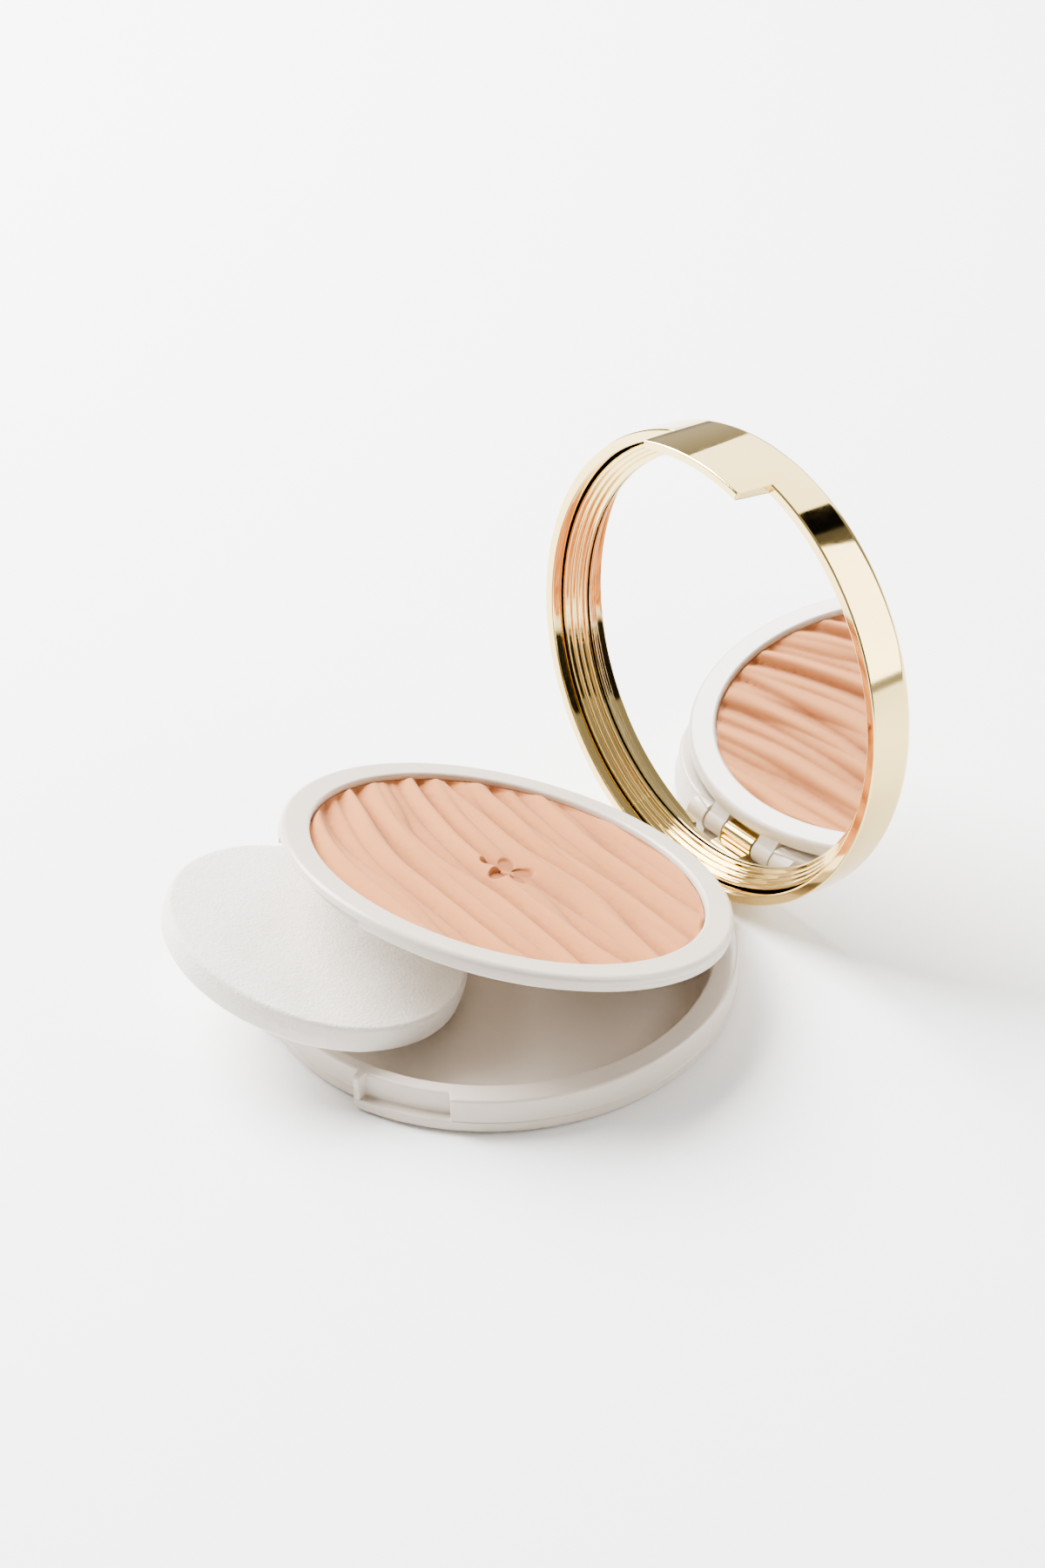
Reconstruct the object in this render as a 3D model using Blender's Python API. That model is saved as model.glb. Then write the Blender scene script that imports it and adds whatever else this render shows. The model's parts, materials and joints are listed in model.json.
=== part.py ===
"""Round three-layer powder compact, open.

A white tub holds a foam sponge. Above it a white tray carries the pressed powder, and a gold lid
with a mirror closes over the tray. Tray and lid turn on one pair of hinge pins at the back.

Units are metres. The origin is the centre of the tub's flat underside. +X runs along the hinge,
+Y points to the hinge at the back, and +Z points up. Tray and lid are drawn closed, in a frame that
starts on the hinge axis, and two empties on that axis turn them to their open places.
"""

import math

import bmesh
import bpy
from mathutils import Matrix, Vector

MM = 0.001
SEGMENTS = 72            # sides of each large round piece
GAP = 0.3 * MM           # clearance between pieces that rest on each other
THIN_GAP = 0.1 * MM      # clearance between glued layers
CUT_PAST = 2.0 * MM      # how far a cutting tool runs past the surface that it cuts

# Hinge
HINGE_Y = 34.4 * MM
HINGE_Z = 3.65 * MM
TRAY_OPEN = math.radians(18.2)
LID_OPEN = math.radians(95.3)
KNUCKLE_R = 2.0 * MM
BORE_R = 1.05 * MM
PIN_R = 0.75 * MM
PIN_INNER = 1.2 * MM     # where each pin starts, measured from the middle
PIN_OUTER = 10.9 * MM
LID_LUG_HALF = 3.2 * MM
TRAY_LUG_INNER = 3.6 * MM
TRAY_LUG_OUTER = 7.4 * MM
SLOT_HALF = 7.8 * MM
BARREL_START = 7.2 * MM
BARREL_END = 11.6 * MM
BARREL_R = 2.1 * MM
BARREL_CLEAR_R = 2.45 * MM
SLOT_FRONT_Y = 30.4 * MM
LUG_NOTCH_FRONT_Y = 31.6 * MM
ROUND_PAST = 6.0 * MM    # how far the tools that round the rear edge reach
ROUND_HALF = 14.0 * MM

# Tub
BASE_R = 36.6 * MM
BASE_H = 6.2 * MM
BASE_EDGE = 1.2 * MM
RIM_EDGE = 0.3 * MM
WELL_R = 32.8 * MM
FLOOR_T = 1.2 * MM
WELL_EDGE = 0.8 * MM

# Recesses in the tub's outer wall; angles are from the front, positive towards +X
TAB_RECESS_R = 34.8 * MM
TAB_RECESS_HALF = 18.5
THUMB_NOTCH = (20.5, 42.0)
THUMB_NOTCH_R = 35.1 * MM
THUMB_NOTCH_FLOOR = 2.3 * MM

# Tray
TRAY_R = 34.4 * MM
TRAY_LOW = BASE_H + GAP
TRAY_TOP = 8.8 * MM
TRAY_EDGE = 0.9 * MM
TRAY_LIP_EDGE = 0.5 * MM
POWDER_R = 30.0 * MM
LIP_UNDER = 7.7 * MM
BOSS_R = 31.8 * MM
POCKET_R = 31.1 * MM
BOSS_LOW = 5.2 * MM
TRAY_NOTCH = (-31.0, 12.0)
TRAY_NOTCH_R = 32.9 * MM
TRAY_NOTCH_TOP = 7.45 * MM
# Web from each tray lug up into the tray, as (y, z) from the hinge axis
TRAY_WEB = [(-2.3 * MM, 3.3 * MM), (-0.9 * MM, 3.3 * MM)]

# Layers in the tray
PLATE_T = 0.6 * MM
GLUE_T = 0.15 * MM
GLUE_INSET = 2.0 * MM    # the adhesive stops this far short of the part that it holds
PAN_R = POCKET_R - GAP
PAN_WALL = 0.3 * MM
PAN_TOP = LIP_UNDER - GAP
CAKE_TOP_R = 29.6 * MM
CAKE_MID = 7.75 * MM
CAKE_FADE = 1.2 * MM     # width of the flat border around the folds
CAKE_WAVE = 0.22 * MM
FOLD_SLANT = math.radians(30.0)
FOLD_WIDTH = 7.8 * MM
FOLD_FINE_WIDTH = 4.8 * MM
FOLD_BEND = 3.2 * MM
FOLD_BEND_LENGTH = 110.0 * MM

# Lid
LID_R = 37.1 * MM
LID_INNER_R = 35.4 * MM
LID_LOW = BASE_H + GAP
LID_TOP = 14.4 * MM
LID_EDGE = 1.6 * MM
LID_RIM_EDGE = 0.4 * MM
LID_CEILING = 13.2 * MM
TAB_HALF = 16.2
TAB_INNER_R = 35.7 * MM
TAB_OUTER_R = LID_R - 0.01 * MM   # just inside the skirt, so that the two surfaces never coincide
TAB_LOW = 0.2 * MM
BEAD_HALF = 12.0
BEAD_R = 35.35 * MM
TAB_ROOT_H = 2.0 * MM
BEAD_LOW = 0.9 * MM
BEAD_TOP = 1.8 * MM
LID_RELIEF_HALF = 8.2 * MM
RELIEF_FRONT_Y = 30.4 * MM
LID_RELIEF_H = 1.0 * MM
# Arm from the lid's hinge lug up into the lid wall, as (y, z) from the hinge axis
LID_ARM = [(0.4 * MM, 4.0 * MM), (1.3 * MM, 5.0 * MM), (2.35 * MM, 5.0 * MM), (2.45 * MM, 3.6 * MM)]

# Mirror
FRAME_R = LID_INNER_R - GAP
FRAME_FACE = LID_LOW + 2.0 * MM
FRAME_TOP = LID_CEILING - GAP
MIRROR_OPEN_R = 32.6 * MM
MIRROR_FACE = LID_LOW + 5.1 * MM
MIRROR_R = 33.3 * MM
MIRROR_T = 1.1 * MM
LEDGE_W = 0.6 * MM
STEP_W = 0.85 * MM
STEP_RISES = (1.2 * MM, 1.0 * MM)

# Sponge: a loose disc, leaning on the rim with its back end in the well
SPONGE_R = 22.8 * MM
SPONGE_T = 3.0 * MM
SPONGE_EDGE = 1.1 * MM
SPONGE_TILT = math.radians(17.0)
SPONGE_HEADING = math.radians(156.0)     # downhill direction, from the front towards +X
SPONGE_REST = Vector((-10.7 * MM, -24.2 * MM, 12.0 * MM))
SPONGE_TRAVEL = 26.3 * MM                # level distance back to the stored place
SPONGE_STORED_Z = 3.3 * MM

# Colours and finishes: base colour, roughness, metallic
FINISHES = {
    "white_plastic": ((0.86, 0.85, 0.84), 0.28, 0.0),
    "gold": ((0.80, 0.66, 0.42), 0.08, 1.0),
    "mirror": ((0.93, 0.94, 0.94), 0.02, 1.0),
    "powder": ((0.79, 0.53, 0.39), 0.85, 0.0),
    "aluminium": ((0.77, 0.77, 0.78), 0.35, 1.0),
    "steel": ((0.60, 0.60, 0.61), 0.25, 1.0),
    "foam": ((0.88, 0.87, 0.85), 0.95, 0.0),
    "adhesive": ((0.80, 0.79, 0.74), 0.60, 0.0),
}


# ---------------------------------------------------------------- scene and materials

def clear_scene():
    for obj in list(bpy.data.objects):
        bpy.data.objects.remove(obj, do_unlink=True)


def make_material(name, color, roughness, metallic):
    material = bpy.data.materials.new(name)
    material.use_nodes = True
    shader = material.node_tree.nodes["Principled BSDF"]
    shader.inputs["Base Color"].default_value = (*color, 1.0)
    shader.inputs["Roughness"].default_value = roughness
    shader.inputs["Metallic"].default_value = metallic
    return material


def add_object(name, bm, finish=None, parent=None):
    """Turn a bmesh into a smooth-shaded object with its own material."""
    bmesh.ops.recalc_face_normals(bm, faces=bm.faces)
    mesh = bpy.data.meshes.new(name)
    bm.to_mesh(mesh)
    bm.free()
    mesh.shade_smooth()
    mesh.set_sharp_from_angle(angle=math.radians(28))
    obj = bpy.data.objects.new(name, mesh)
    bpy.context.collection.objects.link(obj)
    if finish:
        obj.data.materials.append(make_material(name, *FINISHES[finish]))
    obj.parent = parent
    return obj


def add_empty(name, location, rotation_x=0.0):
    empty = bpy.data.objects.new(name, None)
    empty.location = location
    empty.rotation_euler = (rotation_x, 0.0, 0.0)
    empty.empty_display_size = 0.01
    bpy.context.collection.objects.link(empty)
    return empty


def combine(obj, operation, tool):
    """Add a Boolean modifier and hide its tool."""
    modifier = obj.modifiers.new(operation.lower(), "BOOLEAN")
    modifier.operation = operation
    modifier.solver = "EXACT"
    modifier.object = tool
    tool.parent = obj.parent
    tool.hide_render = True
    tool.display_type = "WIRE"


# ---------------------------------------------------------------- shapes

def arc(center_r, center_z, radius, start, end, steps=4):
    """Points of a round corner in a turned profile, angles in degrees."""
    points = []
    for i in range(steps + 1):
        angle = math.radians(start + (end - start) * i / steps)
        points.append((center_r + radius * math.cos(angle), center_z + radius * math.sin(angle)))
    return points


def turn(profile, segments=SEGMENTS, closed=False):
    """Turn (radius, z) points about Z. A closed profile makes a ring, an open one a solid."""
    bm = bmesh.new()
    verts = [bm.verts.new((r, 0.0, z)) for r, z in profile]
    pairs = list(zip(verts[:-1], verts[1:]))
    if closed:
        pairs.append((verts[-1], verts[0]))
    edges = [bm.edges.new(pair) for pair in pairs]
    bmesh.ops.spin(bm, geom=verts + edges, cent=(0, 0, 0), axis=(0, 0, 1), angle=math.tau,
                   steps=segments, use_merge=True)
    bmesh.ops.remove_doubles(bm, verts=bm.verts, dist=1e-7)
    return bm


def disc(radius, low, high, segments=SEGMENTS):
    return turn([(0.0, high), (radius, high), (radius, low), (0.0, low)], segments)


def sector(inner, outer, start, end, low, high):
    """A curved block between two radii; angles in degrees from the front (-Y) towards +X."""
    bm = bmesh.new()
    steps = max(4, round((end - start) / 5.0))
    outline = []
    for i in range(steps + 1):
        angle = math.radians(start + (end - start) * i / steps)
        outline.append((outer * math.sin(angle), -outer * math.cos(angle)))
    for i in range(steps, -1, -1):
        angle = math.radians(start + (end - start) * i / steps)
        outline.append((inner * math.sin(angle), -inner * math.cos(angle)))
    face = bm.faces.new([bm.verts.new((x, y, low)) for x, y in outline])
    lifted = bmesh.ops.extrude_face_region(bm, geom=[face])
    moved = [item for item in lifted["geom"] if isinstance(item, bmesh.types.BMVert)]
    bmesh.ops.translate(bm, vec=(0, 0, high - low), verts=moved)
    return bm


def prism(outline, x_low, x_high):
    """Extrude a (y, z) outline along X."""
    bm = bmesh.new()
    face = bm.faces.new([bm.verts.new((x_low, y, z)) for y, z in outline])
    pushed = bmesh.ops.extrude_face_region(bm, geom=[face])
    moved = [item for item in pushed["geom"] if isinstance(item, bmesh.types.BMVert)]
    bmesh.ops.translate(bm, vec=(x_high - x_low, 0, 0), verts=moved)
    return bm


def box_outline(y_low, y_high, z_low, z_high):
    return [(y_low, z_low), (y_high, z_low), (y_high, z_high), (y_low, z_high)]


def rod(radius, x_low, x_high, segments=24):
    """A round bar along X, centred on the hinge axis frame."""
    outline = []
    for i in range(segments):
        angle = math.tau * i / segments
        outline.append((radius * math.cos(angle), radius * math.sin(angle)))
    return prism(outline, x_low, x_high)


def shift(bm, vector):
    bmesh.ops.translate(bm, vec=vector, verts=bm.verts)
    return bm


def from_hinge(bm):
    """Move a shape drawn in the closed compact into the frame of a hinge empty."""
    return shift(bm, (0.0, -HINGE_Y, -HINGE_Z))


def to_hinge(bm):
    """Move a shape drawn about the hinge axis into the compact's frame."""
    return shift(bm, (0.0, HINGE_Y, HINGE_Z))


# ---------------------------------------------------------------- tub

def build_base():
    profile = [(0.0, 0.0)]
    profile += arc(BASE_R - BASE_EDGE, BASE_EDGE, BASE_EDGE, -90, 0, 5)
    profile += arc(BASE_R - RIM_EDGE, BASE_H - RIM_EDGE, RIM_EDGE, 0, 90, 3)
    profile += arc(WELL_R + RIM_EDGE, BASE_H - RIM_EDGE, RIM_EDGE, 90, 180, 3)
    profile += arc(WELL_R - WELL_EDGE, FLOOR_T + WELL_EDGE, WELL_EDGE, 0, -90, 3)
    profile += [(0.0, FLOOR_T)]
    base = add_object("base_shell", turn(profile), "white_plastic")

    below = -CUT_PAST
    over = BASE_H + CUT_PAST
    past = BASE_R + CUT_PAST
    for side in (-1, 1):
        ends = sorted((side * BARREL_START, side * BARREL_END))
        barrel = add_object(f"cutter_barrel_{side}", to_hinge(rod(BARREL_R, *ends)))
        combine(base, "UNION", barrel)

    rounded = arc(0.0, 0.0, BARREL_CLEAR_R, 90, 0, 6)
    rounded += [(ROUND_PAST, 0.0), (ROUND_PAST, ROUND_PAST), (0.0, ROUND_PAST)]
    cuts = {
        "tab_recess": sector(TAB_RECESS_R, past, -TAB_RECESS_HALF, TAB_RECESS_HALF, below, over),
        "thumb_notch": sector(THUMB_NOTCH_R, past, *THUMB_NOTCH, THUMB_NOTCH_FLOOR, over),
        "hinge_slot": prism(box_outline(SLOT_FRONT_Y, past, FLOOR_T, over), -SLOT_HALF, SLOT_HALF),
        "lug_notch": prism(box_outline(LUG_NOTCH_FRONT_Y, past, below, over),
                           -TRAY_LUG_INNER, TRAY_LUG_INNER),
        "rear_round": to_hinge(prism(rounded, -ROUND_HALF, ROUND_HALF)),
        "pin_bore": to_hinge(rod(BORE_R, -PIN_OUTER - GAP, PIN_OUTER + GAP)),
    }
    for name, bm in cuts.items():
        combine(base, "DIFFERENCE", add_object(f"cutter_{name}", bm))


def build_pins():
    for name, side in (("hinge_pin_left", -1), ("hinge_pin_right", 1)):
        ends = sorted((side * PIN_INNER, side * PIN_OUTER))
        pin = add_object(name, rod(PIN_R, *ends), "steel")
        pin.location = (0.0, HINGE_Y, HINGE_Z)


# ---------------------------------------------------------------- tray

def build_tray(hinge):
    profile = arc(TRAY_R - TRAY_EDGE, TRAY_TOP - TRAY_EDGE, TRAY_EDGE, 90, 0, 5)
    profile += [(TRAY_R, TRAY_LOW), (BOSS_R, TRAY_LOW), (BOSS_R, BOSS_LOW), (POCKET_R, BOSS_LOW)]
    profile += [(POCKET_R, LIP_UNDER), (POWDER_R, LIP_UNDER)]
    profile += arc(POWDER_R + TRAY_LIP_EDGE, TRAY_TOP - TRAY_LIP_EDGE, TRAY_LIP_EDGE, 180, 90, 3)
    tray = add_object("tray_frame", from_hinge(turn(profile, closed=True)), "white_plastic", hinge)

    lug = arc(0.0, 0.0, KNUCKLE_R, 75, -180, 17) + TRAY_WEB
    for side in (-1, 1):
        ends = sorted((side * TRAY_LUG_INNER, side * TRAY_LUG_OUTER))
        combine(tray, "UNION", add_object(f"cutter_tray_lug_{side}", prism(lug, *ends)))
    bore = rod(BORE_R, -TRAY_LUG_OUTER - CUT_PAST, TRAY_LUG_OUTER + CUT_PAST)
    combine(tray, "DIFFERENCE", add_object("cutter_tray_bore", bore))
    notch = sector(TRAY_NOTCH_R, TRAY_R + CUT_PAST, *TRAY_NOTCH, TRAY_LOW - CUT_PAST, TRAY_NOTCH_TOP)
    combine(tray, "DIFFERENCE", add_object("cutter_tray_notch", from_hinge(notch)))


def wave_height(x, y):
    """Long soft folds that cross the powder on a slant and bend as they go."""
    along = x * math.cos(FOLD_SLANT) + y * math.sin(FOLD_SLANT)
    across = y * math.cos(FOLD_SLANT) - x * math.sin(FOLD_SLANT)
    bent = across + FOLD_BEND * math.sin(math.tau * along / FOLD_BEND_LENGTH)
    broad = math.sin(math.tau * bent / FOLD_WIDTH)
    fine = math.sin(math.tau * bent / FOLD_FINE_WIDTH + 1.0)
    return CAKE_WAVE * (2 * broad + fine) / 3


def build_powder(hinge):
    plate_top = BOSS_LOW + PLATE_T
    plate = disc(POCKET_R - GAP, BOSS_LOW, plate_top)
    add_object("tray_bottom", from_hinge(plate), "white_plastic", hinge)

    glue_low = plate_top + THIN_GAP
    glue = disc(PAN_R - GLUE_INSET, glue_low, glue_low + GLUE_T, 48)
    add_object("pan_adhesive", from_hinge(glue), "adhesive", hinge)

    pan_low = glue_low + GLUE_T + THIN_GAP
    pan_floor = pan_low + PAN_WALL
    pan = [(0.0, pan_low), (PAN_R, pan_low), (PAN_R, PAN_TOP), (PAN_R - PAN_WALL, PAN_TOP)]
    pan += [(PAN_R - PAN_WALL, pan_floor), (0.0, pan_floor)]
    add_object("powder_pan", from_hinge(turn(pan)), "aluminium", hinge)

    cake_r = PAN_R - PAN_WALL - GAP
    rings = 15
    cake = [(CAKE_TOP_R * i / rings, CAKE_MID) for i in range(rings + 1)]
    cake += [(CAKE_TOP_R, PAN_TOP - GAP), (cake_r, PAN_TOP - GAP)]
    cake += [(cake_r, pan_floor + THIN_GAP), (0.0, pan_floor + THIN_GAP)]
    bm = turn(cake)
    for vert in bm.verts:
        x, y, z = vert.co
        if z > PAN_TOP:
            fade = min(1.0, (CAKE_TOP_R - math.hypot(x, y)) / CAKE_FADE)
            vert.co.z = z + wave_height(x, y) * fade
    add_object("powder_cake", from_hinge(bm), "powder", hinge)


# ---------------------------------------------------------------- lid

def build_lid(hinge):
    profile = [(0.0, LID_TOP)]
    profile += arc(LID_R - LID_EDGE, LID_TOP - LID_EDGE, LID_EDGE, 90, 0, 5)
    profile += arc(LID_R - LID_RIM_EDGE, LID_LOW + LID_RIM_EDGE, LID_RIM_EDGE, 0, -90, 3)
    profile += arc(LID_INNER_R + LID_RIM_EDGE, LID_LOW + LID_RIM_EDGE, LID_RIM_EDGE, -90, -180, 3)
    profile += [(LID_INNER_R, LID_CEILING), (0.0, LID_CEILING)]
    lid = add_object("lid_shell", from_hinge(turn(profile)), "gold", hinge)

    tab = sector(TAB_INNER_R, TAB_OUTER_R, -TAB_HALF, TAB_HALF, TAB_LOW, LID_LOW + TAB_ROOT_H)
    combine(lid, "UNION", add_object("cutter_tab", from_hinge(tab)))
    bead = sector(BEAD_R, (TAB_INNER_R + TAB_OUTER_R) / 2, -BEAD_HALF, BEAD_HALF, BEAD_LOW, BEAD_TOP)
    combine(lid, "UNION", add_object("cutter_bead", from_hinge(bead)))

    relief = box_outline(RELIEF_FRONT_Y, LID_R + CUT_PAST, LID_LOW - CUT_PAST,
                         LID_LOW + LID_RELIEF_H)
    relief_tool = from_hinge(prism(relief, -LID_RELIEF_HALF, LID_RELIEF_HALF))
    combine(lid, "DIFFERENCE", add_object("cutter_lid_relief", relief_tool))
    arm = arc(0.0, 0.0, KNUCKLE_R, 10, -282, 20) + LID_ARM
    combine(lid, "UNION", add_object("cutter_arm", prism(arm, -LID_LUG_HALF, LID_LUG_HALF)))
    bore = rod(BORE_R, -LID_LUG_HALF - CUT_PAST, LID_LUG_HALF + CUT_PAST)
    combine(lid, "DIFFERENCE", add_object("cutter_lid_bore", bore))


def build_mirror(hinge):
    steps = [(FRAME_R, FRAME_TOP), (FRAME_R, FRAME_FACE)]
    radius = FRAME_R - LEDGE_W
    height = FRAME_FACE
    for rise in STEP_RISES:
        steps += [(radius, height), (radius, height + rise)]
        radius -= STEP_W
        height += rise
    lip = MIRROR_FACE - GAP
    steps += [(MIRROR_OPEN_R, height), (MIRROR_OPEN_R, lip), (MIRROR_R + GAP, lip)]
    steps += [(MIRROR_R + GAP, FRAME_TOP)]
    add_object("mirror_frame", from_hinge(turn(steps, closed=True)), "gold", hinge)

    glass_top = MIRROR_FACE + MIRROR_T
    add_object("mirror_glass", from_hinge(disc(MIRROR_R, MIRROR_FACE, glass_top)), "mirror", hinge)
    glue = disc(MIRROR_R - GLUE_INSET, glass_top + THIN_GAP, glass_top + THIN_GAP + GLUE_T, 48)
    add_object("mirror_adhesive", from_hinge(glue), "adhesive", hinge)


# ---------------------------------------------------------------- sponge

def sponge_pivot():
    """Axis point and direction that carry the sponge from its leaning place to its stored one."""
    level = Vector((math.sin(SPONGE_HEADING), -math.cos(SPONGE_HEADING), 0.0))
    stored = SPONGE_REST + level * SPONGE_TRAVEL
    stored.z = SPONGE_STORED_Z
    chord = stored - SPONGE_REST
    upward = Vector((-level.x * chord.z, -level.y * chord.z, SPONGE_TRAVEL)).normalized()
    middle = (SPONGE_REST + stored) / 2
    point = middle + upward * (chord.length / 2 / math.tan(SPONGE_TILT / 2))
    return point, level.cross(Vector((0.0, 0.0, 1.0)))


def build_sponge():
    half = SPONGE_T / 2
    profile = [(0.0, half)]
    profile += arc(SPONGE_R - SPONGE_EDGE, half - SPONGE_EDGE, SPONGE_EDGE, 90, 0, 4)
    profile += arc(SPONGE_R - SPONGE_EDGE, SPONGE_EDGE - half, SPONGE_EDGE, 0, -90, 4)
    profile += [(0.0, -half)]
    point, axis = sponge_pivot()
    pivot = add_empty("sponge_pivot", point)
    sponge = add_object("sponge", turn(profile, 60), "foam", pivot)
    tilt = Matrix.Rotation(-SPONGE_TILT, 4, axis)
    sponge.matrix_local = Matrix.Translation(SPONGE_REST - point) @ tilt


def build():
    clear_scene()
    build_base()
    build_pins()
    tray_hinge = add_empty("tray_hinge", (0.0, HINGE_Y, HINGE_Z), -TRAY_OPEN)
    build_tray(tray_hinge)
    build_powder(tray_hinge)
    lid_hinge = add_empty("lid_hinge", (0.0, HINGE_Y, HINGE_Z), -LID_OPEN)
    build_lid(lid_hinge)
    build_mirror(lid_hinge)
    build_sponge()


build()
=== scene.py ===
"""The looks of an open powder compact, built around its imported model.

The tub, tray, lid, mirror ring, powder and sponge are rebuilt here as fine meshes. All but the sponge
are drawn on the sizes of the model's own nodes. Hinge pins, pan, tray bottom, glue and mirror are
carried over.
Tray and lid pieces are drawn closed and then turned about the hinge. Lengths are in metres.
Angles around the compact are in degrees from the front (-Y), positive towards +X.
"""

import json
import math

import bmesh
import bpy
from mathutils import Matrix, Vector, noise


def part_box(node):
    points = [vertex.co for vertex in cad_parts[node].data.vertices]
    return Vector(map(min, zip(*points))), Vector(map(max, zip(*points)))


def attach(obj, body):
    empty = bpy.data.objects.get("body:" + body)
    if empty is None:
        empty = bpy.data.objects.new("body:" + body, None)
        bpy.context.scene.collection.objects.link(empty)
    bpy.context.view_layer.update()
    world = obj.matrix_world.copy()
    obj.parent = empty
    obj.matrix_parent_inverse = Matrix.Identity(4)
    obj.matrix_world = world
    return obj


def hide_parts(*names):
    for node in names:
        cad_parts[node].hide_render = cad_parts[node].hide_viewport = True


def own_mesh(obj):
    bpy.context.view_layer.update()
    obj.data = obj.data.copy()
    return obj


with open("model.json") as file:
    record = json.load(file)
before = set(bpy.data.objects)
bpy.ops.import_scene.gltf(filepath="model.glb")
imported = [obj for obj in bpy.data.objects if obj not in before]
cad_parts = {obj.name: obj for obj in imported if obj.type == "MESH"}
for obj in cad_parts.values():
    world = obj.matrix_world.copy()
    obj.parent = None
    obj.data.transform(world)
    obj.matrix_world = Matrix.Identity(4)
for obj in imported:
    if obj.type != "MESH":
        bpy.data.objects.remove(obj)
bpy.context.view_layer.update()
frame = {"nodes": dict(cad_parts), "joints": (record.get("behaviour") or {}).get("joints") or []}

MM = 0.001
joints = {joint["name"]: joint for joint in frame["joints"]}
HINGE = Vector(joints["tray_hinge"]["pos_m"])
TRAY_OPEN = -math.radians(joints["tray_hinge"]["range_deg"][0])
LID_OPEN = TRAY_OPEN - math.radians(joints["lid_hinge"]["range_deg"][0])

# Tub
TUB_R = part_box("base_shell")[1].x
TUB_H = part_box("base_shell")[1].z
WELL_R = TUB_R - 3.8 * MM
FLOOR_T = 1.2 * MM
FLOOR_EDGE = 1.2 * MM
WELL_EDGE = 1.1 * MM
TUB_RIM_EDGE = 0.5 * MM
TAB_RECESS_R = TUB_R - 1.8 * MM
TAB_RECESS = (-18.5, 18.5)
THUMB_NOTCH_R = TUB_R - 1.5 * MM
THUMB_NOTCH = (20.5, 42.0)
THUMB_NOTCH_FLOOR = 2.3 * MM

# Hinge
KNUCKLE_R = 2.0 * MM
BORE_R = 1.05 * MM
LID_LUG_HALF = 3.2 * MM
TRAY_LUG = (3.6 * MM, 7.4 * MM)      # inner and outer end of each lug, and of each barrel
SLOT_HALF = 7.8 * MM
SLOT_FRONT_Y = 30.4 * MM
LUG_NOTCH_FRONT_Y = 31.6 * MM
BARREL = (7.2 * MM, 11.6 * MM)
BARREL_R = 2.1 * MM
BARREL_CLEAR_R = 2.45 * MM           # round of the tub's rear edge, about the hinge axis
CORNER_HALF = 14 * MM                # how far that round runs to each side
CORNER_PAST = 6 * MM                 # how far the tool that cuts it reaches
CUT_PAST = 3 * MM                    # how far other tools reach past the piece
# From the hinge, as (y, z): where the tray's lugs and the lid's lug run on into the piece
TRAY_LUG_ROOT = [(-2.3 * MM, 3.3 * MM), (-0.9 * MM, 3.3 * MM)]
LID_LUG_ROOT = [(0.4 * MM, 4.0 * MM), (1.3 * MM, 5.0 * MM), (2.35 * MM, 5.0 * MM), (2.45 * MM, 3.6 * MM)]

# Tray
TRAY_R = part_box("tray_frame")[1].x
TRAY_LOW = TUB_H + 0.3 * MM
TRAY_TOP = TUB_H + 2.6 * MM
POWDER_R = TRAY_R - 4.4 * MM
LIP_UNDER = TRAY_TOP - 1.1 * MM
BOSS_R = TRAY_R - 2.6 * MM
POCKET_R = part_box("tray_bottom")[1].x + 0.3 * MM
BOSS_LOW = TUB_H - 1.0 * MM
TRAY_NOTCH_R = TRAY_R - 1.5 * MM
TRAY_NOTCH = (-31.0, 12.0)
TRAY_NOTCH_TOP = TRAY_LOW + 0.95 * MM

# Powder
CAKE_R = POWDER_R - 0.12 * MM
CAKE_MID = LIP_UNDER + 0.05 * MM
CAKE_LOW = 6.6 * MM
CAKE_BORDER = 0.5 * MM
FOLD_RELIEF = 1.5 * MM
FOLD_LEVEL = 0.62                    # share of a fold's height that lies below CAKE_MID
BROAD_FOLD = 7.4                     # widths of the folds, in millimetres
FINE_FOLD = 4.6
FLOWER_DEPTH = 0.55 * MM
FLOWER_CALM = 0.7                    # how much the flower flattens the folds under it

# Lid
LID_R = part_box("lid_shell")[1].x
LID_LOW = TUB_H + 0.3 * MM
LID_TOP = LID_LOW + 7.9 * MM
LID_CEILING = LID_TOP - 1.2 * MM
LID_INNER_R = LID_R - 1.7 * MM
TAB = (-16.2, 16.2)
TAB_LOW = 0.2 * MM
TAB_INNER_R = LID_R - 1.4 * MM
LID_EDGE = 1.6 * MM
LID_RIM_EDGE = 0.3 * MM
LID_RELIEF_HALF = 8.2 * MM
BEAD = (-12.0, 12.0)
BEAD_PROUD = 0.35 * MM
BEAD_FOOT = 0.7 * MM                 # the bead's lower and upper end, above the end of the tab
BEAD_TOP = 1.6 * MM

# Mirror ring
RING_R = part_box("mirror_frame")[1].x
RING_FACE = LID_LOW + 2.0 * MM
RING_TOP = LID_CEILING - 0.3 * MM
MIRROR_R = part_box("mirror_glass")[1].x
MIRROR_OPEN_R = MIRROR_R - 0.7 * MM
MIRROR_FACE = LID_LOW + 5.1 * MM
RING_STEPS = ((0.6 * MM, 0.9 * MM), (0.6 * MM, 0.75 * MM), (0.55 * MM, 0.75 * MM))  # (width, rise)

# Sponge
SPONGE_R = 22.8 * MM
SPONGE_T = 4.3 * MM
SPONGE_EDGE = 0.7 * MM
SPONGE_TILT = math.radians(18.5)
SPONGE_HEADING = 155.0               # where its low side points, inside the tub
SPONGE_PLACE = Vector((-11.1 * MM, -24.4 * MM, 11.8 * MM))
SPONGE_ARCH = 0.7 * MM

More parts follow.
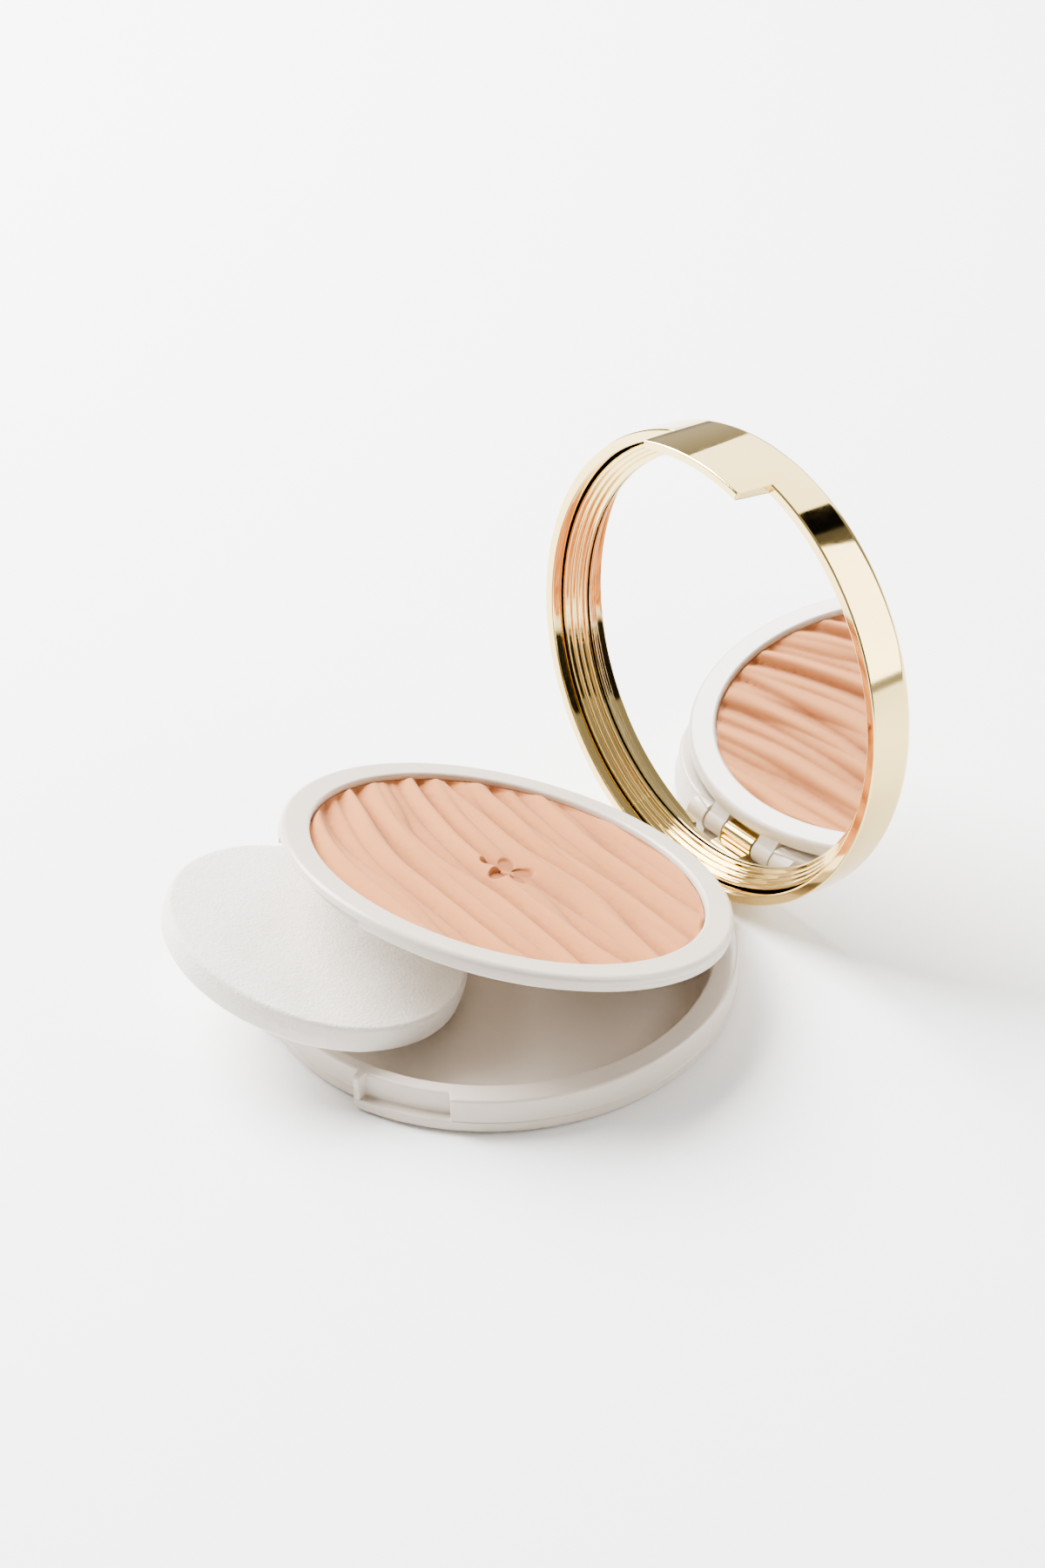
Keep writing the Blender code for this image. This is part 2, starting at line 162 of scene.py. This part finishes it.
# Studio
FLOOR_HALF = 12.0
LIGHTS = {  # place, aim, size, power
    "key": ((-0.66, -0.17, 0.70), (0.0, 0.0, 0.02), (0.7, 0.7), 78.0),
    "back": ((-0.37, 0.77, 0.64), (0.016, 0.047, 0.07), (0.64, 0.90), 9.0),
    "right": ((0.593, 0.760, 0.467), (0.02, 0.046, 0.06), (0.58, 0.85), 13.0),
}
WORLD_TINT = (1.0, 0.93, 0.84, 1.0)
WORLD_RISE = (0.05, 0.42)            # heights on the sky's unit sphere between which it dims
WORLD_LEVEL = (0.8, 0.45)            # its strength below the first and above the second
SCREENS = (  # place in the sky, radius in degrees, share of the light that is left
    ((0.045, 0.71, 0.70), 5.0, 0.02),
    ((0.13, 0.71, 0.69), 5.5, 0.35),
    ((0.78, -0.55, 0.27), 17.0, 0.03),
)
SCREEN_SOFT = 1.0                    # degrees over which a screen's edge fades
CAMERA_PLACE = Vector((0.30875, -0.23461, 0.30354))
CAMERA_AIM = Vector((-0.0096, 0.0135, 0.0239))
CAMERA_LENS = 75.07
CAMERA_ROLL = math.radians(-1.06)


# ---------------------------------------------------------------- mesh tools

def rounded(corners, steps=5, closed=False):
    """Outline through (r, z, corner radius) corners, each with its round."""
    count = len(corners)
    outline = []
    for i, (r, z, radius) in enumerate(corners):
        corner = Vector((r, z))
        if radius == 0 or (not closed and i in (0, count - 1)):
            outline.append(corner)
            continue
        before = (Vector(corners[i - 1][:2]) - corner).normalized()
        after = (Vector(corners[(i + 1) % count][:2]) - corner).normalized()
        half = before.angle(after) / 2
        center = corner + (before + after).normalized() * radius / math.sin(half)
        first = corner + before * radius / math.tan(half) - center
        last = corner + after * radius / math.tan(half) - center
        sweep = first.angle(last)
        for k in range(steps + 1):
            share = k / steps
            spoke = first * math.sin((1 - share) * sweep) + last * math.sin(share * sweep)
            outline.append(center + spoke / math.sin(sweep))
    return outline


def between(first, second, share):
    """Outline that lies that share of the way from the first to the second."""
    return [a.lerp(b, share) for a, b in zip(first, second)]


def smooth(value):
    """The value limited to 0 to 1, and eased at both ends."""
    value = min(1.0, max(0.0, value))
    return value * value * (3 - 2 * value)


def window(angle, span, soft):
    """1 between the two angles of a span and 0 outside, with soft ends."""
    rise = smooth((angle - span[0]) / soft + 0.5)
    fall = smooth((span[1] - angle) / soft + 0.5)
    return rise * fall


def angles_around(count, spans=(), soft=0.0, per_end=8):
    """Even angles, with closer ones across the soft ends of the spans."""
    angles = {round(-180 + 360 * i / count, 4) for i in range(count)}
    for span in spans:
        for end in span:
            angles = {a for a in angles if abs(a - end) > soft * 0.75}
            angles |= {round(end + soft * (k / per_end - 0.5), 4) for k in range(per_end + 1)}
    return sorted(angles)


def lathe(profile_at, angles, closed=False):
    """A turned mesh whose outline may change with the angle."""
    bm = bmesh.new()
    columns = []
    for angle in angles:
        sine = math.sin(math.radians(angle))
        cosine = math.cos(math.radians(angle))
        column = [bm.verts.new((r * sine, -r * cosine, z)) for r, z in profile_at(angle)]
        columns.append(column)
    rows = len(columns[0])
    last = rows if closed else rows - 1
    for column, following in zip(columns, columns[1:] + columns[:1]):
        for i in range(last):
            j = (i + 1) % rows
            bm.faces.new((column[i], column[j], following[j], following[i]))
    bmesh.ops.remove_doubles(bm, verts=bm.verts, dist=1e-8)
    bmesh.ops.recalc_face_normals(bm, faces=bm.faces)
    return bm


def prism(outline, x_low, x_high):
    """A (y, z) outline pushed along X."""
    bm = bmesh.new()
    face = bm.faces.new([bm.verts.new((x_low, y, z)) for y, z in outline])
    pushed = bmesh.ops.extrude_face_region(bm, geom=[face])
    moved = [item for item in pushed["geom"] if isinstance(item, bmesh.types.BMVert)]
    bmesh.ops.translate(bm, vec=(x_high - x_low, 0, 0), verts=moved)
    bmesh.ops.recalc_face_normals(bm, faces=bm.faces)
    return bm


def arc(radius, start, end, steps):
    """Points (y, z) on an arc round the origin, between two angles in degrees."""
    angles = [math.radians(start + (end - start) * i / steps) for i in range(steps + 1)]
    return [(radius * math.cos(angle), radius * math.sin(angle)) for angle in angles]


def block(y_low, y_high, z_low, z_high):
    """Rectangle as a (y, z) outline."""
    return [(y_low, z_low), (y_high, z_low), (y_high, z_high), (y_low, z_high)]


def at_hinge(outline, x_low, x_high):
    """Prism whose outline is drawn round the hinge axis."""
    bm = prism(outline, x_low, x_high)
    bmesh.ops.translate(bm, vec=HINGE, verts=bm.verts)
    return bm


def bore(half):
    """Tool for the pin's bore, that long to each side of the middle."""
    return at_hinge(arc(BORE_R, 0, 345, 23), -half, half)


def piece(name, bm):
    """Object made from a bmesh, which this frees."""
    mesh = bpy.data.meshes.new(name)
    bm.to_mesh(mesh)
    bm.free()
    obj = bpy.data.objects.new(name, mesh)
    bpy.context.scene.collection.objects.link(obj)
    return obj


def carve(obj, operation, bm):
    """Add a tool's solid to obj, or take it away."""
    tool = piece("tool", bm)
    modifier = obj.modifiers.new("carve", "BOOLEAN")
    modifier.operation = operation
    modifier.solver = "EXACT"
    modifier.object = tool
    bpy.context.view_layer.update()
    carved = bpy.data.meshes.new_from_object(obj.evaluated_get(bpy.context.evaluated_depsgraph_get()))
    obj.modifiers.clear()
    obj.data = carved
    bpy.data.objects.remove(tool, do_unlink=True)


def shade(obj, angle=32):
    """Smooth shading that keeps real edges, with flats that stay flat beside their rounds."""
    obj.data.shade_smooth()
    obj.data.set_sharp_from_angle(angle=math.radians(angle))
    weighted = obj.modifiers.new("weighted_normals", "WEIGHTED_NORMAL")
    weighted.keep_sharp = True
    weighted.weight = 100


def open_out(obj, angle):
    """Turn a piece that is drawn closed to its open place on the hinge."""
    turned = Matrix.Translation(HINGE) @ Matrix.Rotation(-angle, 4, "X")
    obj.data.transform(turned @ Matrix.Translation(-HINGE))


# ---------------------------------------------------------------- materials

NOISE_RANGE = (0.3, 0.7)             # where most values of a noise texture lie


def map_range(tree, source, from_range, to_range, interpolation="LINEAR"):
    """Output of a node that maps one (low, high) range onto another."""
    node = tree.nodes.new("ShaderNodeMapRange")
    node.interpolation_type = interpolation
    for socket, value in zip(("From Min", "From Max", "To Min", "To Max"), (*from_range, *to_range)):
        node.inputs[socket].default_value = value
    tree.links.new(source, node.inputs["Value"])
    return node.outputs["Result"]


def combine(tree, operation, first, second):
    """Output of a Math node on two others."""
    node = tree.nodes.new("ShaderNodeMath")
    node.operation = operation
    tree.links.new(first, node.inputs[0])
    tree.links.new(second, node.inputs[1])
    return node.outputs["Value"]


class Finish:
    """A Principled material whose colour, roughness and relief come from noise."""

    def __init__(self, name, metallic=0.0):
        self.material = bpy.data.materials.new(name)
        self.material.use_nodes = True
        self.tree = self.material.node_tree
        self.shader = self.tree.nodes["Principled BSDF"]
        self.set("Metallic", metallic)
        self.place = self.tree.nodes.new("ShaderNodeTexCoord").outputs["Object"]
        self.relief = None

    def set(self, socket, value):
        self.shader.inputs[socket].default_value = value

    def link(self, output, target):
        self.tree.links.new(output, target)

    def grain(self, size, detail=2.0, stretch=(1.0, 1.0, 1.0)):
        """Noise with features of about that size in metres."""
        vector = self.place
        if stretch != (1.0, 1.0, 1.0):
            mapping = self.tree.nodes.new("ShaderNodeMapping")
            mapping.inputs["Scale"].default_value = stretch
            self.link(vector, mapping.inputs["Vector"])
            vector = mapping.outputs["Vector"]
        texture = self.tree.nodes.new("ShaderNodeTexNoise")
        texture.inputs["Scale"].default_value = 1.0 / size
        texture.inputs["Detail"].default_value = detail
        self.link(vector, texture.inputs["Vector"])
        return texture.outputs["Fac"]

    def cells(self, size):
        """Round cells of about that size, as foam has."""
        texture = self.tree.nodes.new("ShaderNodeTexVoronoi")
        texture.inputs["Scale"].default_value = 1.0 / size
        self.link(self.place, texture.inputs["Vector"])
        return texture.outputs["Distance"]

    def colors(self, source, *stops):
        """Base colour along stops of (position, colour)."""
        ramp = self.tree.nodes.new("ShaderNodeValToRGB")
        elements = ramp.color_ramp.elements
        while len(elements) < len(stops):
            elements.new(0.5)
        for element, (position, color) in zip(elements, stops):
            element.position = position
            element.color = (*color, 1.0)
        self.link(source, ramp.inputs["Fac"])
        self.link(ramp.outputs["Color"], self.shader.inputs["Base Color"])

    def rough(self, source, low, high):
        """Roughness that the source moves between two values."""
        spread = map_range(self.tree, source, NOISE_RANGE, (low, high))
        self.link(spread, self.shader.inputs["Roughness"])

    def bump(self, source, height, strength):
        """Relief on top of what the material has already."""
        node = self.tree.nodes.new("ShaderNodeBump")
        node.inputs["Strength"].default_value = strength
        node.inputs["Distance"].default_value = height
        self.link(source, node.inputs["Height"])
        if self.relief:
            self.link(self.relief, node.inputs["Normal"])
        self.relief = node.outputs["Normal"]
        self.link(self.relief, self.shader.inputs["Normal"])

    def dress(self, obj):
        obj.data.materials.clear()
        obj.data.materials.append(self.material)


def white_plastic():
    finish = Finish("white_moulded_plastic")
    finish.colors(finish.grain(18 * MM, 2), (0.3, (0.56, 0.485, 0.405)), (0.7, (0.57, 0.495, 0.415)))
    finish.rough(finish.grain(9 * MM, 1), 0.28, 0.34)
    finish.bump(finish.grain(12 * MM, 1), 0.02 * MM, 0.2)
    finish.bump(finish.grain(0.25 * MM, 3), 0.004 * MM, 0.5)
    finish.set("Coat Weight", 0.15)
    finish.set("Coat Roughness", 0.12)
    return finish


def gold_plating():
    finish = Finish("gold_plating", metallic=1.0)
    finish.colors(finish.grain(12 * MM, 2), (0.3, (0.80, 0.605, 0.235)), (0.7, (0.83, 0.63, 0.255)))
    finish.rough(finish.grain(2.2 * MM, 5), 0.035, 0.08)
    finish.bump(finish.grain(14 * MM, 1), 0.01 * MM, 0.4)
    finish.bump(finish.grain(0.2 * MM, 2, (1.0, 1.0, 9.0)), 0.0012 * MM, 0.4)
    return finish


def mirror():
    finish = Finish("silvered_glass", metallic=1.0)
    finish.colors(finish.grain(25 * MM, 2), (0.3, (0.93, 0.945, 0.94)), (0.7, (0.95, 0.96, 0.955)))
    finish.rough(finish.grain(6 * MM, 5), 0.008, 0.03)
    return finish


def pressed_powder():
    """Matt powder with painted shade in its creases and petals: the mesh says how near each point is to
    a crest.
    """
    finish = Finish("pressed_powder")
    crest = finish.tree.nodes.new("ShaderNodeAttribute")
    crest.attribute_name = "crest"
    mottle = map_range(finish.tree, finish.grain(1.1 * MM, 8), (0.2, 0.8), (-0.12, 0.12))
    shade_and_mottle = combine(finish.tree, "ADD", crest.outputs["Fac"], mottle)
    # Painted shade: the low end of these colours darkens the creases and petals as shade would; the
    # noise adds a real random mottle.
    finish.colors(shade_and_mottle, (0.0, (0.27, 0.085, 0.023)), (0.42, (0.41, 0.148, 0.045)),
                  (1.0, (0.48, 0.182, 0.057)))
    finish.rough(finish.grain(0.6 * MM, 3), 0.78, 0.95)
    finish.bump(finish.grain(0.45 * MM, 4), 0.035 * MM, 0.55)
    finish.bump(finish.grain(0.12 * MM, 2), 0.015 * MM, 0.6)
    finish.set("Sheen Weight", 0.05)
    finish.set("Sheen Roughness", 0.6)
    finish.set("Specular IOR Level", 0.15)
    return finish


def foam():
    finish = Finish("latex_foam")
    finish.colors(finish.grain(3.5 * MM, 6), (0.3, (0.73, 0.675, 0.60)), (0.7, (0.76, 0.705, 0.63)))
    finish.rough(finish.grain(1 * MM, 2), 0.88, 1.0)
    finish.bump(finish.grain(1.0 * MM, 5), 0.10 * MM, 0.8)
    finish.bump(finish.cells(0.45 * MM), 0.07 * MM, 0.9)
    finish.set("Subsurface Weight", 0.2)
    finish.set("Subsurface Radius", (1.0, 0.95, 0.9))
    finish.set("Subsurface Scale", 1.0 * MM)
    finish.set("Sheen Weight", 0.2)
    finish.set("Specular IOR Level", 0.2)
    return finish


def plain_metal(name, low, high, roughness):
    """Drawn or stamped metal with fine streaks."""
    finish = Finish(name, metallic=1.0)
    finish.colors(finish.grain(5 * MM, 3), (0.3, low), (0.7, high))
    finish.rough(finish.grain(0.4 * MM, 3, (0.1, 1.0, 1.0)), roughness * 0.8, roughness * 1.3)
    finish.bump(finish.grain(0.15 * MM, 2, (0.08, 1.0, 1.0)), 0.003 * MM, 0.5)
    return finish


def glue_tape():
    finish = Finish("foam_tape")
    finish.set("Roughness", 0.6)
    finish.colors(finish.grain(2 * MM, 4), (0.3, (0.74, 0.72, 0.66)), (0.7, (0.83, 0.81, 0.76)))
    finish.bump(finish.cells(0.4 * MM), 0.03 * MM, 0.6)
    return finish


# ---------------------------------------------------------------- tub

def make_tub(finish):
    step = 0.25 * MM
    hair = 0.02 * MM                 # a step this small stays where the wall is plain
    soft = 0.7

    def outline(low_r, high_r):
        """The tub's section with its outer wall at low_r below the notch floor and at high_r above."""
        return rounded([
            (0.0, 0.0, 0.0), (low_r, 0.0, FLOOR_EDGE), (low_r, THUMB_NOTCH_FLOOR, step),
            (high_r, THUMB_NOTCH_FLOOR + hair / 2, step), (high_r, TUB_H, TUB_RIM_EDGE),
            (WELL_R, TUB_H, TUB_RIM_EDGE), (WELL_R, FLOOR_T, WELL_EDGE), (0.0, FLOOR_T, 0.0)])

    plain = outline(TUB_R, TUB_R - hair)
    notched = outline(TUB_R, THUMB_NOTCH_R)
    recessed = outline(TAB_RECESS_R, TAB_RECESS_R - hair)

    def profile_at(angle):
        profile = between(plain, notched, window(angle, THUMB_NOTCH, soft))
        return between(profile, recessed, window(angle, TAB_RECESS, soft))

    angles = angles_around(288, (THUMB_NOTCH, TAB_RECESS), soft)
    tub = piece("tub", lathe(profile_at, angles))

    for side in (-1, 1):
        ends = sorted(side * x for x in BARREL)
        carve(tub, "UNION", at_hinge(arc(BARREL_R, 0, 352.5, 47), *ends))
    far = TUB_R + CUT_PAST
    above = TUB_H + CUT_PAST
    slot = block(SLOT_FRONT_Y, far, FLOOR_T, above)
    carve(tub, "DIFFERENCE", prism(slot, -SLOT_HALF, SLOT_HALF))
    lug_notch = block(LUG_NOTCH_FRONT_Y, far, -MM, above)
    carve(tub, "DIFFERENCE", prism(lug_notch, -TRAY_LUG[0], TRAY_LUG[0]))
    corner = arc(BARREL_CLEAR_R, 90, 0, 12)
    corner += [(CORNER_PAST, 0.0), (CORNER_PAST, CORNER_PAST), (0.0, CORNER_PAST)]
    carve(tub, "DIFFERENCE", at_hinge(corner, -CORNER_HALF, CORNER_HALF))
    carve(tub, "DIFFERENCE", bore(BARREL[1] - 0.4 * MM))
    shade(tub)
    finish.dress(tub)
    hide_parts("base_shell")
    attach(tub, "base")


# ---------------------------------------------------------------- tray and powder

def make_tray(finish):
    soft = 0.7

    def outline(wall_r):
        """The tray's section with the lower half of its outer wall at wall_r."""
        return rounded([
            (wall_r, TRAY_LOW, 0.3 * MM), (wall_r + 0.01 * MM, TRAY_NOTCH_TOP, 0.1 * MM),
            (TRAY_R, TRAY_NOTCH_TOP + 0.02 * MM, 0.1 * MM), (TRAY_R, TRAY_TOP, 0.95 * MM),
            (POWDER_R, TRAY_TOP, 0.55 * MM), (POWDER_R, LIP_UNDER, 0.1 * MM),
            (POCKET_R, LIP_UNDER, 0.1 * MM), (POCKET_R, BOSS_LOW, 0.1 * MM),
            (BOSS_R, BOSS_LOW, 0.15 * MM), (BOSS_R, TRAY_LOW, 0.1 * MM)], closed=True)

    plain = outline(TRAY_R - 0.03 * MM)
    notched = outline(TRAY_NOTCH_R)

    def profile_at(angle):
        return between(plain, notched, window(angle, TRAY_NOTCH, soft))

    angles = angles_around(300, (TRAY_NOTCH,), soft)
    tray = piece("tray", lathe(profile_at, angles, closed=True))
    lug = arc(KNUCKLE_R, 75, -180, 40) + TRAY_LUG_ROOT
    for side in (-1, 1):
        ends = sorted(side * x for x in TRAY_LUG)
        carve(tray, "UNION", at_hinge(lug, *ends))
    carve(tray, "DIFFERENCE", bore(9 * MM))
    open_out(tray, TRAY_OPEN)
    shade(tray)
    finish.dress(tray)
    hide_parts("tray_frame")
    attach(tray, "tray")


def draped(phase):
    """One fold per whole number: a long rise to its crest and a short fall into a crease."""
    share = phase - math.floor(phase)
    return math.sin(math.pi * share ** 1.9) ** 0.85


def fold_height(x, y):
    """Long folds along the hinge's direction that climb at their left ends, meet and part.

    0 is the bottom of a crease and 1 a crest. The noise is long along the folds, and the last
    number of each of its places picks another pattern. Inside, lengths are in millimetres.
    """
    x /= MM
    y /= MM
    wander = noise.noise(Vector((x * 0.035, y * 0.10, 1.7)))
    drift = noise.noise(Vector((x * 0.05, y * 0.16, 7.3)))
    mix = noise.noise(Vector((x * 0.04, y * 0.08, 4.1)))
    climb = 0.0095 * min(x + 2.0, 0.0) ** 2 * (0.9 - y / 45.0)
    line = y - climb + 1.6 * wander
    broad = draped(line / BROAD_FOLD + 0.3 * drift)
    fine = draped(line / FINE_FOLD - 0.5 * wander + 0.012 * x + 0.3)
    broad_share = 0.55 + 0.3 * smooth(0.5 + 1.4 * mix)
    return broad_share * broad + (1 - broad_share) * fine


def blossom_depth(x, y):
    """A plain flower of five pressed petals round a raised heart: 1 in a petal, 0 outside."""
    heart_r = 1.4 * MM
    gap_r = 1.3 * MM                 # where two petals meet
    petal_length = 3.3 * MM
    angle = math.atan2(y, x)
    radius = math.hypot(x, y)
    reach = gap_r + petal_length * abs(math.cos(2.5 * angle)) ** 0.7
    petals = smooth((reach - radius) / (0.6 * MM))
    heart = smooth((heart_r - radius) / (0.4 * MM))
    return max(0.0, petals - heart)


def make_powder(finish):
    rings = 150

    def profile_at(_angle):
        top = [(CAKE_R * i / rings, CAKE_MID) for i in range(rings + 1)]
        return [Vector(p) for p in top + [(CAKE_R, CAKE_LOW), (0.0, CAKE_LOW)]]

    bm = lathe(profile_at, angles_around(420))
    crest = bm.verts.layers.float.new("crest")
    for vert in bm.verts:
        x, y, z = vert.co
        if z > CAKE_MID - 0.1 * MM:
            fade = smooth((CAKE_R - math.hypot(x, y)) / CAKE_BORDER)
            fold = fold_height(x, y)
            flower = blossom_depth(x, y)
            # Painted shade: this value is low in the creases and 0 in the flower's petals, and the
            # powder's colour darkens where it is low.
            vert[crest] = fold * (1 - flower)
            folded = (fold - FOLD_LEVEL) * FOLD_RELIEF * (1 - FLOWER_CALM * flower)
            vert.co.z = z + (folded - FLOWER_DEPTH * flower) * fade
    powder = piece("powder", bm)
    open_out(powder, TRAY_OPEN)
    powder.data.shade_smooth()
    powder.data.set_sharp_from_angle(angle=math.radians(60))
    finish.dress(powder)
    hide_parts("powder_cake")
    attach(powder, "tray")


# ---------------------------------------------------------------- lid

def make_lid(finish):
    soft = 0.8
    bead_soft = 2.0

    def outline(low, inner_r, bead, bead_top):
        """The lid's section with its skirt ending at low, and a bead that far proud inside it.

        A section without a bead keeps the bead's three points, in line with the wall.
        """
        return rounded([
            (0.0, LID_TOP, 0.0), (LID_R, LID_TOP, LID_EDGE), (LID_R, low, LID_RIM_EDGE),
            (inner_r, low, LID_RIM_EDGE), (inner_r, low + BEAD_FOOT, 0.0),
            (inner_r - bead, low + (BEAD_FOOT + bead_top) / 2, 0.0), (inner_r, low + bead_top, 0.0),
            (inner_r, LID_LOW + 1.2 * MM, 0.15 * MM), (LID_INNER_R, LID_LOW + 1.25 * MM, 0.02 * MM),
            (LID_INNER_R, LID_CEILING, 0.3 * MM), (0.0, LID_CEILING, 0.0)])

    plain = outline(LID_LOW, LID_INNER_R - 0.001 * MM, 0.0, 0.9 * MM)
    tab = outline(TAB_LOW, TAB_INNER_R, 0.0, 0.9 * MM)
    beaded = outline(TAB_LOW, TAB_INNER_R, BEAD_PROUD, BEAD_TOP)

    def profile_at(angle):
        with_bead = between(tab, beaded, window(angle, BEAD, bead_soft))
        return between(plain, with_bead, window(angle, TAB, soft))

    angles = angles_around(320, (TAB, BEAD), soft, per_end=10)
    lid = piece("lid", lathe(profile_at, angles))
    relief = block(SLOT_FRONT_Y, LID_R + CUT_PAST, LID_LOW - MM, LID_LOW + MM)
    carve(lid, "DIFFERENCE", prism(relief, -LID_RELIEF_HALF, LID_RELIEF_HALF))
    lug = arc(KNUCKLE_R, 10, -282, 44) + LID_LUG_ROOT
    carve(lid, "UNION", at_hinge(lug, -LID_LUG_HALF, LID_LUG_HALF))
    carve(lid, "DIFFERENCE", bore(5 * MM))
    open_out(lid, LID_OPEN)
    shade(lid)
    finish.dress(lid)
    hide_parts("lid_shell")
    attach(lid, "lid")


def make_mirror_ring(finish):
    """Stepped ring between the lid's rim and the mirror, with a small round on every step."""
    step_round = 0.16 * MM
    corners = [(RING_R, RING_TOP, 0.0), (RING_R, RING_FACE, 0.12 * MM)]
    radius = RING_R
    height = RING_FACE
    for width, rise in RING_STEPS:
        radius -= width
        corners.append((radius, height, step_round))
        height += rise
        corners.append((radius, height, step_round))
    lip = MIRROR_FACE - 0.2 * MM
    seat_r = MIRROR_R + 0.3 * MM
    corners += [(MIRROR_OPEN_R, height, 0.14 * MM), (MIRROR_OPEN_R, lip, 0.1 * MM)]
    corners += [(seat_r, lip, 0.0), (seat_r, RING_TOP, 0.0)]
    outline = rounded(corners, 4, closed=True)
    ring = piece("mirror_ring", lathe(lambda _angle: outline, angles_around(300), closed=True))
    open_out(ring, LID_OPEN)
    shade(ring)
    finish.dress(ring)
    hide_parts("mirror_frame")
    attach(ring, "lid")


# ---------------------------------------------------------------- sponge

def make_sponge(finish):
    """Bare foam disc that leans on the tub's rim, a little arched and uneven."""
    half = SPONGE_T / 2
    flat = SPONGE_R - SPONGE_EDGE
    rings = 36
    side = rounded([(flat, half, 0.0), (SPONGE_R, half, SPONGE_EDGE),
                    (SPONGE_R + 0.15 * MM, 0.0, 0.6 * MM), (SPONGE_R, -half, SPONGE_EDGE),
                    (flat, -half, 0.0)], 6)
    top = [Vector((flat * i / rings, half)) for i in range(rings)]
    under = [Vector((flat * i / rings, -half)) for i in range(rings - 1, -1, -1)]
    bm = lathe(lambda _angle: top + side + under, angles_around(240))
    heading = math.radians(SPONGE_HEADING)
    downhill = Vector((math.sin(heading), -math.cos(heading), 0.0))
    level_axis = downhill.cross(Vector((0.0, 0.0, 1.0)))
    for vert in bm.verts:
        across = vert.co.dot(level_axis) / SPONGE_R
        dents = noise.noise(vert.co / (7 * MM)) * 0.10 * MM
        pores = noise.noise(vert.co / (0.9 * MM)) * 0.035 * MM
        vert.co.z += dents + pores - SPONGE_ARCH * across * across
    sponge = piece("foam_sponge", bm)
    tilt = Matrix.Rotation(-SPONGE_TILT, 4, level_axis)
    sponge.data.transform(Matrix.Translation(SPONGE_PLACE) @ tilt)
    sponge.data.shade_smooth()
    finish.dress(sponge)
    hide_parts("sponge")
    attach(sponge, "sponge")
    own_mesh(sponge)


# ---------------------------------------------------------------- stage, light and camera

def make_stage():
    """A pale floor, far wider than the camera sees."""
    bm = bmesh.new()
    bmesh.ops.create_grid(bm, x_segments=8, y_segments=8, size=FLOOR_HALF)
    floor = piece("floor", bm)
    finish = Finish("pale_floor")
    finish.set("Roughness", 0.6)
    finish.colors(finish.grain(0.4, 2), (0.3, (0.95, 0.95, 0.95)), (0.7, (0.97, 0.97, 0.97)))
    finish.set("Specular IOR Level", 0.1)
    finish.dress(floor)


def soft_light(name, place, aim, size, power):
    """Rectangular area light that faces its aim."""
    light = bpy.data.lights.new(name, "AREA")
    light.shape = "RECTANGLE"
    light.size = size[0]
    light.size_y = size[1]
    light.energy = power
    obj = bpy.data.objects.new(name, light)
    obj.location = place
    obj.rotation_euler = (Vector(aim) - Vector(place)).to_track_quat("-Z", "Y").to_euler()
    bpy.context.scene.collection.objects.link(obj)


def make_world():
    """A studio that is brightest low down all round, with dark screens for the gold to mirror."""
    world = bpy.data.worlds.new("studio")
    world.use_nodes = True
    bpy.context.scene.world = world
    tree = world.node_tree
    direction = tree.nodes.new("ShaderNodeTexCoord").outputs["Generated"]
    split = tree.nodes.new("ShaderNodeSeparateXYZ")
    tree.links.new(direction, split.inputs["Vector"])
    level = map_range(tree, split.outputs["Z"], WORLD_RISE, WORLD_LEVEL, "SMOOTHSTEP")
    for toward, radius, left in SCREENS:
        dot = tree.nodes.new("ShaderNodeVectorMath")
        dot.operation = "DOT_PRODUCT"
        dot.inputs[1].default_value = Vector(toward).normalized()
        tree.links.new(direction, dot.inputs[0])
        edge = (math.cos(math.radians(radius + SCREEN_SOFT)), math.cos(math.radians(radius)))
        screen = map_range(tree, dot.outputs["Value"], edge, (1.0, left))
        level = combine(tree, "MULTIPLY", level, screen)
    background = tree.nodes["Background"]
    background.inputs["Color"].default_value = WORLD_TINT
    tree.links.new(level, background.inputs["Strength"])


def make_camera():
    data = bpy.data.cameras.new("camera")
    data.sensor_fit = "VERTICAL"
    data.sensor_height = 36.0
    data.lens = CAMERA_LENS
    data.clip_start = 0.01
    camera = bpy.data.objects.new("camera", data)
    turn = (CAMERA_AIM - CAMERA_PLACE).to_track_quat("-Z", "Y").to_matrix().to_4x4()
    roll = Matrix.Rotation(CAMERA_ROLL, 4, "Z")
    camera.matrix_world = Matrix.Translation(CAMERA_PLACE) @ turn @ roll
    bpy.context.scene.collection.objects.link(camera)
    bpy.context.scene.camera = camera


make_camera()
make_stage()
make_world()
for name, (place, aim, size, power) in LIGHTS.items():
    soft_light(name, place, aim, size, power)

plastic = white_plastic()
gold = gold_plating()
make_tub(plastic)
make_tray(plastic)
make_powder(pressed_powder())
make_lid(gold)
make_mirror_ring(gold)
make_sponge(foam())

steel = plain_metal("drawn_steel", (0.56, 0.56, 0.57), (0.64, 0.64, 0.65), 0.25)
aluminium = plain_metal("stamped_aluminium", (0.74, 0.74, 0.75), (0.80, 0.80, 0.81), 0.32)
tape = glue_tape()
carried_over = {
    "hinge_pin_left": steel, "hinge_pin_right": steel, "powder_pan": aluminium,
    "tray_bottom": plastic, "pan_adhesive": tape, "mirror_adhesive": tape, "mirror_glass": mirror(),
}
for node, finish in carried_over.items():
    finish.dress(frame["nodes"][node])
